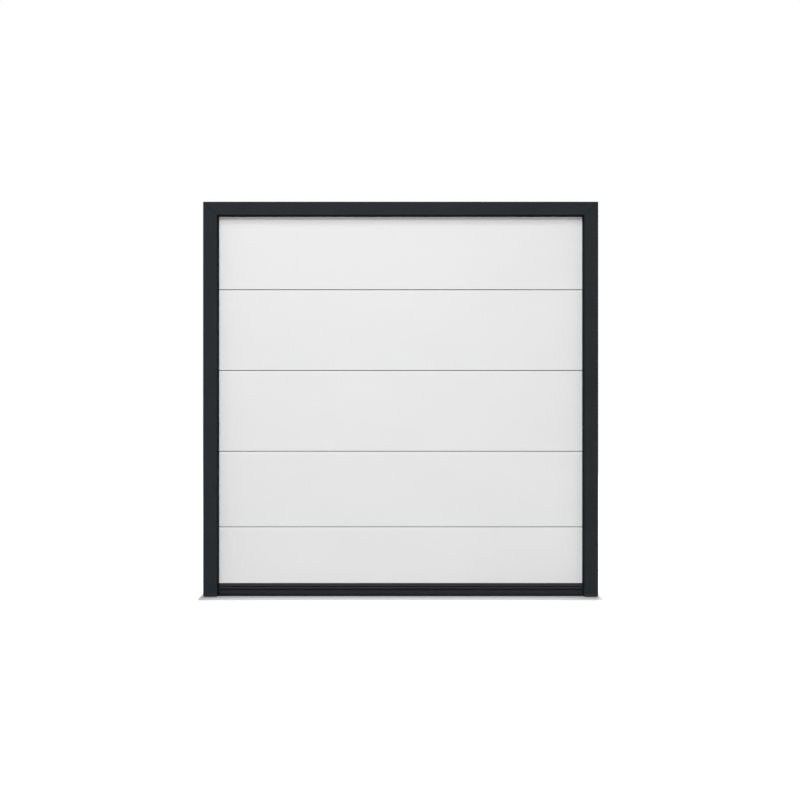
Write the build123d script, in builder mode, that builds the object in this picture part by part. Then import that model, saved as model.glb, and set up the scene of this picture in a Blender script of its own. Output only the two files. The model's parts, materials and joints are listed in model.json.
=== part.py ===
import os

from build123d import *

os.makedirs("parts", exist_ok=True)

# A sectional overhead garage door in its own outer frame, millimetres.
# X to the right seen from outside, +Y into the garage, +Z up.
# The origin is the middle of the frame's top face, which is screwed under the lintel.

# Outer frame of hollow aluminium, mitred at the top corners
clear_width = 2250
leg_width = 85
head_height = 80
frame_depth = 55
frame_wall = 3
frame_edge_radius = 1.5
mitre_chamfer = 0.8
foot_height = 18
foot_outer_radius = 14
foot_inner_radius = 3
spigot_height = 20
spigot_fit = 0.5

# Leaf: five foamed sections, listed from the floor up
bottom_pitch = 351
low_pitch = 468
section_pitch = 500
top_pitch = 491
section_pitches = [bottom_pitch, low_pitch, section_pitch, section_pitch, top_pitch]
leaf_thickness = 42
side_overlap = 25
top_overlap = 40
seal_gap = 5
joint_gap = 3
shoulder_height = 12
shoulder_depth = 2.5
tongue_setback = 12
tongue_width = 18
tongue_height = 10
tongue_clearance = 2.5
seam_seal_width = 8
seam_seal_height = 4
tongue_radius = 4
lip_radius = 2
rib_count = 3
rib_pitch = 110
rib_width = 9
rib_depth = 1.5
rib_angle = 45

# Bottom rail and its bulb seal
rail_face_height = 17
rail_groove_height = 6
rail_groove_depth = 5
rail_lip_height = 6
rail_lip_reach = 8
rail_lip_gap = 3
rail_lip_radius = 2
rail_wall = 2
slot_mouth = 10
slot_head = 20
slot_head_height = 4
bulb_width = 38
bulb_height = 36
bulb_neck_height = 5
bulb_wall = 3
bulb_radius = 12
seal_fit = 0.4

# Frame seals
seal_base_width = 14
seal_base_thickness = 1.8
seal_lip_thickness = 1.6

# End caps of bent sheet, one on each end of each section
cap_thickness = 1.5
cap_flange = 60

# Hinges
hinge_plate_width = 56
hinge_plate_height = 50
hinge_plate_thickness = 2.5
hinge_corner = 6
hinge_leaf_gap = 4
barrel_radius = 6
barrel_sides = 8

# Roller carriers, rollers and their track
roller_offset = 30
roller_rise = 30
cheek_thickness = 3
cheek_base = 30
carrier_radius = 8.5
carrier_sides = 8
shaft_radius = 5.5
shaft_sides = 12
wheel_radius = 23
wheel_width = 16
wheel_edge = 2
bottom_roller_height = 128
top_roller_offset = 48
bracket_height = 96
bracket_end_gap = 12

track_side_gap = 10
track_gauge = 48
track_reach = 26
track_wall = 2
track_lip = 8
track_bend = 1.5
track_foot_gap = 12
upper_track_drop = 35
track_spacing = 90
track_curve_radius = 300
track_rear = 2760
upper_track_front = 16

# Angle that ties each vertical track to the back of its leg
angle_thickness = 2
angle_flange = 20
angle_web = 105
angle_top_gap = 8

# Lifting gear
cable_radius = 1.5
cable_sides = 6
cable_side_gap = 6
cable_setback = 8.5
anchor_radius = 4
anchor_height = 92
anchor_end = 1
thimble_radius = 9
thimble_width = 4.4
pulley_radius = 30
pulley_width = 8
pulley_flange = 5
pulley_groove_gap = 0.5
pulley_axle_radius = 5
pulley_head_radius = 9
pulley_drop = 45
drum_radius = 50
drum_width = 34
drum_flange = 8
drum_flange_thickness = 3
drum_hub_radius = 24
drum_hub_width = 18
cable_drum_wraps = 180

spring_axis_setback = 100
spring_shaft_radius = 12.7
spring_shaft_wall = 2.5
spring_shaft_end = 22
spring_radius = 31
spring_wire = 6
spring_length = 600
spring_centre_gap = 46
cone_length = 45
cone_flange_radius = 36
cone_flange_thickness = 12

# Rear supports
plate_thickness = 4
plate_front_lap = 80
plate_rear_reach = 62
plate_margin = 14
bearing_radius = 26
bearing_width = 14
bar_depth = 30
bar_height = 60
bar_wall = 2.5
bar_cable_gap = 8
hanger_width = 30
hanger_thickness = 3
hanger_front = 1400
ceiling_height = 180
hanger_foot_length = 90
hanger_foot_width = 40
hanger_hole_radius = 5
hanger_hole_spacing = 56

# Derived places, heights from the origin down and depths from the middle of the frame
seal_height = bulb_height + bulb_neck_height
rail_height = rail_face_height + rail_groove_height + rail_lip_height
leaf_height = sum(section_pitches)
leaf_floor_gap = seal_height + rail_height
clear_height = leaf_floor_gap + leaf_height - top_overlap
frame_height = clear_height + head_height
frame_width = clear_width + 2 * leg_width
floor = -frame_height
clear_top = -head_height
leaf_width = clear_width + 2 * side_overlap
leaf_top = clear_top + top_overlap
leaf_base = floor + leaf_floor_gap
frame_back = frame_depth / 2
leaf_front = frame_back + seal_gap
leaf_back = leaf_front + leaf_thickness
leaf_middle = (leaf_front + leaf_back) / 2
cap_back = leaf_back + cap_thickness
section_length = leaf_width - 2 * cap_thickness
seams = [leaf_base + sum(section_pitches[:count]) for count in range(1, len(section_pitches))]

roller_line = leaf_back + roller_offset
top_roller_line = leaf_back + top_roller_offset
upper_track = -upper_track_drop
lower_track = upper_track - track_spacing
curve_start = lower_track - track_curve_radius
curve_centre = roller_line + track_curve_radius
track_mouth = leaf_width / 2 + track_side_gap
track_web = track_mouth + track_reach
track_half_height = track_gauge / 2 + track_wall
wheel_centre = track_mouth + track_wall + (track_reach - 2 * track_wall) / 2
bottom_roller = floor + bottom_roller_height
roller_heights = [bottom_roller] + [seam + roller_rise for seam in seams]

hinge_centre = leaf_width / 2 - cap_flange / 2
hinge_outer = hinge_centre + hinge_plate_width / 2

cable_x = leaf_width / 2 + cable_side_gap
cable_y = cap_back + cable_setback
pulley_y = cable_y + pulley_radius
pulley_z = lower_track + pulley_drop
cable_top = pulley_z + pulley_radius
spring_y = track_rear + spring_axis_setback
spring_z = cable_top - drum_radius


def save(piece, name):
    piece.part.label = name
    export_step(piece.part, f"parts/{name}.step")


def save_pair(piece, name):
    """The right-hand piece, and its mirror image on the left."""
    with BuildPart() as left:
        mirror(piece.part, about=Plane.YZ)
    save(piece, f"{name}_right")
    save(left, f"{name}_left")


# Outer frame, its mitred ends lightly chamfered so that the joint shows as a fine line
plane_tolerance = 1e-3
mitre_run = Vector(-leg_width, 0, -head_height)
mitre = Plane(
    origin=(frame_width / 2, 0, 0),
    x_dir=mitre_run,
    z_dir=mitre_run.cross(Vector(0, 1, 0)),
)

with BuildPart() as frame_leg:
    with BuildSketch(Plane.XY.offset(floor + foot_height)):
        with Locations((clear_width / 2 + leg_width / 2, 0)):
            Rectangle(leg_width, frame_depth)
            Rectangle(leg_width - 2 * frame_wall, frame_depth - 2 * frame_wall, mode=Mode.SUBTRACT)
    extrude(amount=frame_height - foot_height)
    split(bisect_by=mitre, keep=Keep.TOP)
    cut_face = faces().filter_by(mitre, tolerance=plane_tolerance)[0]
    chamfer(cut_face.outer_wire().edges(), length=mitre_chamfer)
    uprights = edges().filter_by(Axis.Z).group_by(Axis.Y)
    fillet(uprights[0] + uprights[-1], frame_edge_radius)
save_pair(frame_leg, "frame_leg")

with BuildPart() as frame_head:
    with BuildSketch(Plane.YZ):
        with Locations((0, clear_top + head_height / 2)):
            Rectangle(frame_depth, head_height)
            Rectangle(frame_depth - 2 * frame_wall, head_height - 2 * frame_wall, mode=Mode.SUBTRACT)
    extrude(amount=frame_width / 2)
    split(bisect_by=mitre, keep=Keep.BOTTOM)
    cut_face = faces().filter_by(mitre, tolerance=plane_tolerance)[0]
    chamfer(cut_face.outer_wire().edges(), length=mitre_chamfer)
    rails = edges().filter_by(Axis.X).group_by(Axis.Y)
    fillet(rails[0] + rails[-1], frame_edge_radius)
    mirror(about=Plane.YZ)
save(frame_head, "frame_head")

with BuildPart() as foot:
    with BuildSketch(Plane.XZ) as foot_outline:
        with Locations((clear_width / 2 + leg_width / 2, floor + foot_height / 2)):
            Rectangle(leg_width, foot_height)
        fillet(foot_outline.vertices().group_by(Axis.Z)[0].sort_by(Axis.X)[-1], foot_outer_radius)
        fillet(foot_outline.vertices().group_by(Axis.Z)[0].sort_by(Axis.X)[0], foot_inner_radius)
    extrude(amount=frame_depth / 2, both=True)
    with BuildSketch(Plane.XY.offset(floor + foot_height)):
        with Locations((clear_width / 2 + leg_width / 2, 0)):
            inside = 2 * frame_wall + 2 * spigot_fit
            Rectangle(leg_width - inside, frame_depth - inside)
    extrude(amount=spigot_height)
save_pair(foot, "foot")


# Seals that close the gap between the frame and the leaf
with BuildPart() as side_seal:
    with BuildSketch(Plane.XY.offset(floor + foot_height)):
        with BuildLine():
            base_end = clear_width / 2 + seal_base_width
            base_back = frame_back + seal_base_thickness
            lip_root = clear_width / 2 + seal_lip_thickness
            Polyline(
                (clear_width / 2, frame_back),
                (base_end, frame_back),
                (base_end, base_back),
                (lip_root + seal_lip_thickness, base_back),
                (lip_root, leaf_front),
                (clear_width / 2, leaf_front),
                close=True,
            )
        make_face()
    extrude(amount=clear_height - foot_height)
save_pair(side_seal, "side_seal")

with BuildPart() as head_seal:
    with BuildSketch(Plane.YZ):
        with BuildLine():
            base_end = clear_top + seal_base_width
            lip_root = clear_top + seal_lip_thickness
            Polyline(
                (frame_back, clear_top),
                (frame_back, base_end),
                (base_back, base_end),
                (base_back, lip_root + seal_lip_thickness),
                (leaf_front, lip_root),
                (leaf_front, clear_top),
                close=True,
            )
        make_face()
    extrude(amount=clear_width / 2 + seal_base_width, both=True)
save(head_seal, "head_seal")


# Leaf sections, with a finger-safe tongue along the top, a groove along the bottom
# and shallow ribs pressed into the inner skin
def section(bottom, top, groove, tongue):
    tongue_y = leaf_front + tongue_setback + tongue_width / 2
    rib_seat = (Align.CENTER, Align.MIN)
    with BuildPart() as panel:
        with BuildSketch(Plane.YZ):
            with BuildLine():
                shoulder = shoulder_depth if tongue else 0
                Polyline(
                    (leaf_front, bottom),
                    (leaf_front, top - shoulder_height),
                    (leaf_front + shoulder, top),
                    (leaf_back, top),
                    (leaf_back, bottom),
                    close=True,
                )
            make_face()
            if tongue:
                with Locations((tongue_y, top + tongue_height / 2)):
                    Rectangle(tongue_width, tongue_height)
            if groove:
                roof = tongue_height - joint_gap + seam_seal_height
                with Locations((tongue_y, bottom + roof / 2)):
                    Rectangle(tongue_width + 2 * tongue_clearance, roof, mode=Mode.SUBTRACT)
            with Locations((leaf_back, (bottom + top) / 2)):
                with GridLocations(0, rib_pitch, 1, rib_count):
                    Trapezoid(
                        rib_width, rib_depth, rib_angle, rotation=90, align=rib_seat, mode=Mode.SUBTRACT
                    )
        extrude(amount=section_length / 2, both=True)
        if tongue:
            tongue_edges = edges().filter_by(Axis.X).group_by(Axis.Z)[-1]
            fillet(tongue_edges, tongue_radius)
        if groove:
            lip_edges = edges().filter_by(Axis.X).group_by(Axis.Z)[0]
            fillet(lip_edges.sort_by(Axis.Y)[0], lip_radius)
    return panel


section_names = [f"section_{number}" for number in range(1, len(section_pitches) + 1)]
section_bottoms = [leaf_base] + seams
section_tops = [seam - joint_gap for seam in seams] + [leaf_top]
for name, bottom, top in zip(section_names, section_bottoms, section_tops):
    save(section(bottom, top, groove=bottom > leaf_base, tongue=top < leaf_top), name)

with BuildPart() as seam_seals:
    for seam in seams:
        with BuildSketch(Plane.YZ):
            seal_y = leaf_front + tongue_setback + tongue_width / 2
            seal_bottom = seam - joint_gap + tongue_height
            with Locations((seal_y, seal_bottom + seam_seal_height / 2)):
                Rectangle(seam_seal_width, seam_seal_height)
        extrude(amount=section_length / 2, both=True)
save(seam_seals, "seam_seals")


# Bottom rail, an extrusion that carries the bulb seal in a T-slot
rail_top = leaf_base
rail_face_bottom = rail_top - rail_face_height
lip_top = rail_face_bottom - rail_groove_height
rail_bottom = lip_top - rail_lip_height

with BuildPart() as bottom_rail:
    with BuildSketch(Plane.YZ):
        with BuildLine():
            Polyline(
                (leaf_front, rail_top),
                (leaf_front, rail_face_bottom),
                (leaf_front + rail_groove_depth, rail_face_bottom),
                (leaf_front + rail_groove_depth, rail_bottom),
                (leaf_back, rail_bottom),
                (leaf_back, rail_top),
                close=True,
            )
        make_face()
        chamber_front = leaf_front + rail_groove_depth + rail_wall
        chamber_back = leaf_back - rail_wall
        chamber_bottom = rail_bottom + slot_head_height + 2 * rail_wall
        chamber_top = rail_top - rail_wall
        with Locations(((chamber_front + chamber_back) / 2, (chamber_bottom + chamber_top) / 2)):
            Rectangle(chamber_back - chamber_front, chamber_top - chamber_bottom, mode=Mode.SUBTRACT)
        with Locations((leaf_middle, rail_bottom + rail_wall / 2)):
            Rectangle(slot_mouth, rail_wall, mode=Mode.SUBTRACT)
        with Locations((leaf_middle, rail_bottom + rail_wall + slot_head_height / 2)):
            Rectangle(slot_head, slot_head_height, mode=Mode.SUBTRACT)
    extrude(amount=leaf_width / 2, both=True)
    with BuildSketch(Plane.YZ):
        with Locations((leaf_front + rail_groove_depth, rail_bottom + rail_lip_height / 2)):
            lip_depth = rail_groove_depth + rail_lip_reach
            Rectangle(lip_depth, rail_lip_height, align=(Align.MAX, Align.CENTER))
    extrude(amount=clear_width / 2 - rail_lip_gap, both=True)
    lip_front = edges().filter_by(Axis.X).group_by(Axis.Y)[0]
    fillet(lip_front, rail_lip_radius)
save(bottom_rail, "bottom_rail")

with BuildPart() as bottom_seal:
    with BuildSketch(Plane.YZ):
        with Locations((leaf_middle, floor + bulb_height / 2)):
            RectangleRounded(bulb_width, bulb_height, bulb_radius)
            RectangleRounded(
                bulb_width - 2 * bulb_wall,
                bulb_height - 2 * bulb_wall,
                bulb_radius - bulb_wall,
                mode=Mode.SUBTRACT,
            )
        neck_bottom = floor + bulb_height - bulb_wall / 2
        neck_top = rail_bottom + rail_wall + seal_fit
        with Locations((leaf_middle, (neck_bottom + neck_top) / 2)):
            Rectangle(slot_mouth - 2 * seal_fit, neck_top - neck_bottom)
        head_bottom = rail_bottom + rail_wall
        with Locations((leaf_middle, head_bottom + slot_head_height / 2)):
            Rectangle(slot_head - 2 * seal_fit, slot_head_height)
    extrude(amount=leaf_width / 2, both=True)
save(bottom_seal, "bottom_seal")


# End caps, with the flange that the hinges are screwed to
with BuildPart() as end_caps:
    for bottom, top in zip(section_bottoms, section_tops):
        with BuildSketch(Plane.XY.offset(bottom)):
            with BuildLine():
                Polyline(
                    (leaf_width / 2, leaf_front + shoulder_depth),
                    (leaf_width / 2, cap_back),
                    (leaf_width / 2 - cap_flange, cap_back),
                    (leaf_width / 2 - cap_flange, leaf_back),
                    (leaf_width / 2 - cap_thickness, leaf_back),
                    (leaf_width / 2 - cap_thickness, leaf_front + shoulder_depth),
                    close=True,
                )
            make_face()
        extrude(amount=top - bottom)
save_pair(end_caps, "end_caps")


# One hinge about its own middle: two plates joined by a barrel on the seam
with BuildPart() as hinge:
    plate_middle = (hinge_leaf_gap + hinge_plate_height) / 2
    with BuildSketch(Plane.XZ):
        with Locations((0, -plate_middle), (0, plate_middle)):
            plate = Rectangle(hinge_plate_width, hinge_plate_height)
        chamfer(plate.vertices(), hinge_corner)
    extrude(amount=-hinge_plate_thickness)
    with BuildSketch(Plane.YZ):
        with Locations((barrel_radius, 0)):
            RegularPolygon(barrel_radius, barrel_sides, major_radius=False)
    extrude(amount=hinge_plate_width / 2, both=True)


def roller_carrier(offset, rise):
    """Two cheeks and a tube, from a plate at the origin out to a roller's axis."""
    with BuildPart() as carrier:
        for start in (-hinge_plate_width / 2, hinge_plate_width / 2 - cheek_thickness):
            with BuildSketch(Plane.YZ.offset(start)):
                with BuildLine():
                    Polyline(
                        (0, -cheek_base / 2),
                        (offset, rise - carrier_radius),
                        (offset, rise + carrier_radius),
                        (0, cheek_base / 2),
                        close=True,
                    )
                make_face()
            extrude(amount=cheek_thickness)
        with BuildSketch(Plane.YZ):
            with Locations((offset, rise)):
                RegularPolygon(carrier_radius, carrier_sides, major_radius=False)
        extrude(amount=hinge_plate_width / 2, both=True)
    return carrier


top_bracket_middle = leaf_top - bracket_end_gap - bracket_height / 2
anchor_z = floor + anchor_height
side_carrier = roller_carrier(roller_line - cap_back, 0)
top_carrier = roller_carrier(top_roller_line - cap_back, upper_track - top_bracket_middle)

with BuildPart() as centre_hinges:
    with Locations(*[(0, leaf_back, seam - joint_gap / 2) for seam in seams]):
        add(hinge.part)
save(centre_hinges, "centre_hinges")

with BuildPart() as end_hinges:
    with Locations(*[(hinge_centre, cap_back, seam - joint_gap / 2) for seam in seams]):
        add(hinge.part)
    with Locations(*[(hinge_centre, cap_back, seam + roller_rise) for seam in seams]):
        add(side_carrier.part)
save_pair(end_hinges, "end_hinges")

with BuildPart() as roller_brackets:
    with BuildSketch(Plane.XZ.offset(-cap_back)):
        with Locations((hinge_centre, bottom_roller), (hinge_centre, top_bracket_middle)):
            plate = Rectangle(hinge_plate_width, bracket_height)
        chamfer(plate.vertices(), hinge_corner)
    extrude(amount=-hinge_plate_thickness)
    with Locations((hinge_centre, cap_back, bottom_roller)):
        add(side_carrier.part)
    with Locations((hinge_centre, cap_back, top_bracket_middle)):
        add(top_carrier.part)
    with BuildSketch(Plane.YZ.offset(hinge_outer - cheek_thickness)):
        with BuildLine():
            Polyline(
                (cap_back, bottom_roller),
                (cap_back, anchor_z - anchor_radius),
                (cable_y, anchor_z - 2 * anchor_radius),
                (cable_y + 2 * anchor_radius, anchor_z),
                (cable_y + 2 * anchor_radius, bottom_roller),
                close=True,
            )
        make_face()
    extrude(amount=cheek_thickness)
    with BuildSketch(Plane.YZ.offset(hinge_outer)):
        with Locations((cable_y, anchor_z)):
            Circle(anchor_radius)
    extrude(amount=cable_x + thimble_width / 2 + anchor_end - hinge_outer)
save_pair(roller_brackets, "roller_brackets")


# Rollers: a steel shaft, pressed into its carrier, with a nylon wheel near its outer end
roller_places = [(roller_line, z) for z in roller_heights] + [(top_roller_line, upper_track)]
shaft_end = wheel_centre + wheel_width / 2

with BuildPart() as roller_shafts:
    with BuildSketch(Plane.YZ.offset(hinge_outer)):
        with Locations(*roller_places):
            RegularPolygon(shaft_radius, shaft_sides)
    extrude(amount=shaft_end - hinge_outer)
save_pair(roller_shafts, "roller_shafts")

with BuildPart() as roller_wheels:
    with BuildSketch(Plane.YZ.offset(wheel_centre)):
        with Locations(*roller_places):
            Circle(wheel_radius)
            RegularPolygon(shaft_radius, shaft_sides, mode=Mode.SUBTRACT)
    extrude(amount=wheel_width / 2, both=True)
    rims = edges().filter_by(GeomType.CIRCLE)
    chamfer(rims, wheel_edge)
save_pair(roller_wheels, "roller_wheels")


# Tracks: a C-section whose mouth faces the leaf
with BuildSketch() as track_section:
    with Locations((track_reach / 2, 0)):
        folded = Rectangle(track_reach, 2 * track_half_height)
        chamfer(folded.vertices(), track_bend)
        Rectangle(track_reach - 2 * track_wall, track_gauge, mode=Mode.SUBTRACT)
    Rectangle(2 * track_wall, track_gauge - 2 * track_lip, mode=Mode.SUBTRACT)

with BuildPart() as vertical_track:
    track_foot = floor + track_foot_gap
    with BuildSketch(Plane((track_mouth, roller_line, track_foot))):
        add(track_section.sketch)
    extrude(amount=curve_start - track_foot)
save_pair(vertical_track, "vertical_track")

with BuildPart() as curved_track:
    with BuildSketch(Plane((track_mouth, roller_line, curve_start))):
        add(track_section.sketch)
    revolve(axis=Axis((0, curve_centre, curve_start), (-1, 0, 0)), revolution_arc=90)
save_pair(curved_track, "curved_track")

with BuildPart() as horizontal_track:
    with BuildSketch(Plane((track_mouth, curve_centre, lower_track), x_dir=(1, 0, 0), z_dir=(0, -1, 0))):
        add(track_section.sketch)
    extrude(amount=curve_centre - track_rear)
save_pair(horizontal_track, "horizontal_track")

with BuildPart() as upper_track_rail:
    front = cap_back + upper_track_front
    with BuildSketch(Plane((track_mouth, front, upper_track), x_dir=(1, 0, 0), z_dir=(0, -1, 0))):
        add(track_section.sketch)
    extrude(amount=front - track_rear)
save_pair(upper_track_rail, "upper_track")

with BuildPart() as track_angle:
    with BuildSketch(Plane.XY.offset(floor + foot_height)):
        with BuildLine():
            Polyline(
                (track_web, frame_back),
                (track_web + angle_flange, frame_back),
                (track_web + angle_flange, frame_back + angle_thickness),
                (track_web + angle_thickness, frame_back + angle_thickness),
                (track_web + angle_thickness, frame_back + angle_web),
                (track_web, frame_back + angle_web),
                close=True,
            )
        make_face()
    extrude(amount=frame_height - foot_height - angle_top_gap)
save_pair(track_angle, "track_angle")


# Lifting cable, from its anchor on the bottom bracket over the front pulley to the rear drum
with BuildPart() as cable_pulley:
    pulley_plane = Plane(origin=(cable_x, pulley_y, pulley_z), x_dir=(1, 0, 0), z_dir=(0, -1, 0))
    with BuildSketch(pulley_plane):
        with BuildLine():
            half = pulley_width / 2
            groove = pulley_radius - cable_radius
            groove_side = cable_radius + pulley_groove_gap
            Polyline(
                (-half, 0),
                (-half, groove + pulley_flange),
                (-groove_side, groove + pulley_flange),
                (-groove_side, groove),
                (groove_side, groove),
                (groove_side, groove + pulley_flange),
                (half, groove + pulley_flange),
                (half, 0),
                close=True,
            )
        make_face()
    revolve(axis=Axis((cable_x, pulley_y, pulley_z), (1, 0, 0)))
    with BuildSketch(Plane.YZ.offset(cable_x)):
        with Locations((pulley_y, pulley_z)):
            Circle(pulley_axle_radius)
    extrude(amount=track_web - cable_x)
    with BuildSketch(Plane.YZ.offset(track_web)):
        with Locations((pulley_y, pulley_z)):
            Circle(pulley_head_radius)
    extrude(amount=-pulley_axle_radius)
save_pair(cable_pulley, "cable_pulley")

with BuildPart() as lift_cable:
    thimble_top = anchor_z + thimble_radius
    with BuildLine(Plane.YZ.offset(cable_x)) as cable_route:
        Line((cable_y, thimble_top), (cable_y, pulley_z))
        JernArc((cable_y, pulley_z), (0, 1), pulley_radius, -90)
        Line((pulley_y, cable_top), (spring_y, cable_top))
        JernArc((spring_y, cable_top), (1, 0), drum_radius, -cable_drum_wraps)
    with BuildSketch(Plane((cable_x, cable_y, thimble_top))):
        RegularPolygon(cable_radius, cable_sides)
    sweep(path=cable_route.line)
    with BuildSketch(Plane.YZ.offset(cable_x - thimble_width / 2)):
        with Locations((cable_y, anchor_z)):
            Circle(thimble_radius + cable_radius)
            Circle(anchor_radius, mode=Mode.SUBTRACT)
    extrude(amount=thimble_width)
save_pair(lift_cable, "lift_cable")


# Torsion springs on their shaft behind the tracks
with BuildPart() as spring_shaft:
    with BuildSketch(Plane.YZ):
        with Locations((spring_y, spring_z)):
            Circle(spring_shaft_radius)
            Circle(spring_shaft_radius - spring_shaft_wall, mode=Mode.SUBTRACT)
    extrude(amount=track_web + plate_thickness + spring_shaft_end, both=True)
save(spring_shaft, "spring_shaft")

spring_start = spring_centre_gap / 2 + cone_flange_thickness
with BuildPart() as spring:
    with BuildSketch(Plane.YZ.offset(spring_start)):
        with Locations((spring_y, spring_z)):
            Circle(spring_radius)
            Circle(spring_radius - spring_wire, mode=Mode.SUBTRACT)
    extrude(amount=spring_length)
save_pair(spring, "spring")

with BuildPart() as spring_cones:
    for face, inward in ((spring_start, 1), (spring_start + spring_length, -1)):
        with BuildSketch(Plane.YZ.offset(face)):
            with Locations((spring_y, spring_z)):
                Circle(cone_flange_radius)
                Circle(spring_shaft_radius, mode=Mode.SUBTRACT)
        extrude(amount=-inward * cone_flange_thickness)
        with BuildSketch(Plane.YZ.offset(face)):
            with Locations((spring_y, spring_z)):
                Circle(spring_radius - spring_wire)
                Circle(spring_shaft_radius, mode=Mode.SUBTRACT)
        extrude(amount=inward * cone_length)
save_pair(spring_cones, "spring_cones")

with BuildPart() as cable_drum:
    barrel = drum_radius - cable_radius
    drum_plane = Plane(origin=(cable_x, spring_y, spring_z), x_dir=(1, 0, 0), z_dir=(0, -1, 0))
    with BuildSketch(drum_plane):
        with BuildLine():
            outer_face = track_web - track_reach / 2 - cable_x
            inner_face = outer_face - drum_width
            Polyline(
                (inner_face - drum_hub_width, spring_shaft_radius),
                (inner_face - drum_hub_width, drum_hub_radius),
                (inner_face, drum_hub_radius),
                (inner_face, barrel + drum_flange),
                (inner_face + drum_flange_thickness, barrel + drum_flange),
                (inner_face + drum_flange_thickness, barrel),
                (outer_face - drum_flange_thickness, barrel),
                (outer_face - drum_flange_thickness, barrel + drum_flange),
                (outer_face, barrel + drum_flange),
                (outer_face, spring_shaft_radius),
                close=True,
            )
        make_face()
    revolve(axis=Axis((cable_x, spring_y, spring_z), (1, 0, 0)))
save_pair(cable_drum, "cable_drum")


# Rear supports
plate_top = upper_track + track_half_height
plate_bottom = spring_z - bearing_radius - plate_margin
plate_front = track_rear - plate_front_lap
plate_rear = spring_y + plate_rear_reach

with BuildPart() as bearing_plate:
    with BuildSketch(Plane.YZ.offset(track_web)):
        with BuildLine():
            Polyline(
                (plate_front, plate_top),
                (track_rear, plate_top),
                (plate_rear, spring_z + bearing_radius),
                (plate_rear, spring_z - bearing_radius),
                (spring_y, plate_bottom),
                (plate_front, plate_bottom),
                close=True,
            )
        make_face()
    extrude(amount=plate_thickness)
    with BuildSketch(Plane.YZ.offset(track_web + plate_thickness)):
        with Locations((spring_y, spring_z)):
            Circle(bearing_radius)
    extrude(amount=bearing_width)
    with BuildSketch(Plane.YZ.offset(track_web)):
        with Locations((spring_y, spring_z)):
            Circle(spring_shaft_radius)
    extrude(amount=plate_thickness + bearing_width, mode=Mode.SUBTRACT)
save_pair(bearing_plate, "bearing_plate")

bar_centre = cable_top - bar_cable_gap - bar_height / 2
with BuildPart() as rear_cross_bar:
    with BuildSketch(Plane.YZ):
        with Locations((track_rear + bar_depth / 2, bar_centre)):
            Rectangle(bar_depth, bar_height)
            with Locations((bar_wall, 0)):
                Rectangle(bar_depth, bar_height - 2 * bar_wall, mode=Mode.SUBTRACT)
    extrude(amount=track_web, both=True)
save(rear_cross_bar, "rear_cross_bar")

with BuildPart() as centre_bearing:
    with BuildSketch(Plane.YZ):
        with BuildLine():
            bar_back = track_rear + bar_depth
            Polyline(
                (bar_back, bar_centre + bar_height / 2),
                (bar_back, bar_centre - bar_height / 2),
                (spring_y, spring_z - bearing_radius),
                (spring_y, spring_z + bearing_radius),
                close=True,
            )
        make_face()
        with Locations((spring_y, spring_z)):
            Circle(bearing_radius)
            Circle(spring_shaft_radius, mode=Mode.SUBTRACT)
    extrude(amount=spring_centre_gap / 2, both=True)
save(centre_bearing, "centre_bearing")

with BuildPart() as ceiling_hangers:
    hanger_bottom = lower_track - track_half_height
    hanger_rear = plate_front + hanger_width
    for hanger_y, side in ((hanger_front, track_web), (hanger_rear, track_web + plate_thickness)):
        with BuildSketch(Plane.XY.offset(hanger_bottom)):
            with Locations((side, hanger_y)):
                Rectangle(hanger_thickness, hanger_width, align=(Align.MIN, Align.MIN))
        extrude(amount=ceiling_height - hanger_thickness - hanger_bottom)
        with BuildSketch(Plane.XY.offset(ceiling_height)):
            with Locations((side, hanger_y + hanger_width / 2)):
                foot_x = hanger_foot_width / 2
                with Locations((foot_x, 0)):
                    Rectangle(hanger_foot_width, hanger_foot_length)
                    with GridLocations(0, hanger_hole_spacing, 1, 2):
                        Circle(hanger_hole_radius, mode=Mode.SUBTRACT)
        extrude(amount=-hanger_thickness)
save_pair(ceiling_hangers, "ceiling_hangers")
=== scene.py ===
import json
from math import pi, radians

import bmesh
import bpy
from mathutils import Matrix, Vector


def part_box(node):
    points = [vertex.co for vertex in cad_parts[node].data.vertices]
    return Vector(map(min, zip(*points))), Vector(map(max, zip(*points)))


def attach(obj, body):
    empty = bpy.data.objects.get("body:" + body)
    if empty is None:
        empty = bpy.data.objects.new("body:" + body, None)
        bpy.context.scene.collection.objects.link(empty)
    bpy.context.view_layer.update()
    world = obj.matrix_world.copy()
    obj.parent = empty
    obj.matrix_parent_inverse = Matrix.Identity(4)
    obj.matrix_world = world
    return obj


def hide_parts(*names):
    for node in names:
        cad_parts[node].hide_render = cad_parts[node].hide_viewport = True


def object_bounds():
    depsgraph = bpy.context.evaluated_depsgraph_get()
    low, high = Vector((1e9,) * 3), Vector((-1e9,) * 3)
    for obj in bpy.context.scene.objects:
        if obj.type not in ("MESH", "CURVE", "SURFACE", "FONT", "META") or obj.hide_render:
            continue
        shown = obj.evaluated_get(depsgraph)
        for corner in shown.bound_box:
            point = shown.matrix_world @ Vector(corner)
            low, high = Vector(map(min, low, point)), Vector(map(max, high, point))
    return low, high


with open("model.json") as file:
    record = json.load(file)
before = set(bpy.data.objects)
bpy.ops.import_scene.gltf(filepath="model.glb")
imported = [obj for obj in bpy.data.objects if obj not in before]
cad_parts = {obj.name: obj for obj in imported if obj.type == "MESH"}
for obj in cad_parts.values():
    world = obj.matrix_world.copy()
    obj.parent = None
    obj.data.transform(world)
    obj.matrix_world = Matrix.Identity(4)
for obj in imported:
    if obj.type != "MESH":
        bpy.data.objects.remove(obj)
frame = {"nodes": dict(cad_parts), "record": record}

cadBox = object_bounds()
nodes = frame["nodes"]
print("frame loaded,", len(nodes), "nodes")

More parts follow.
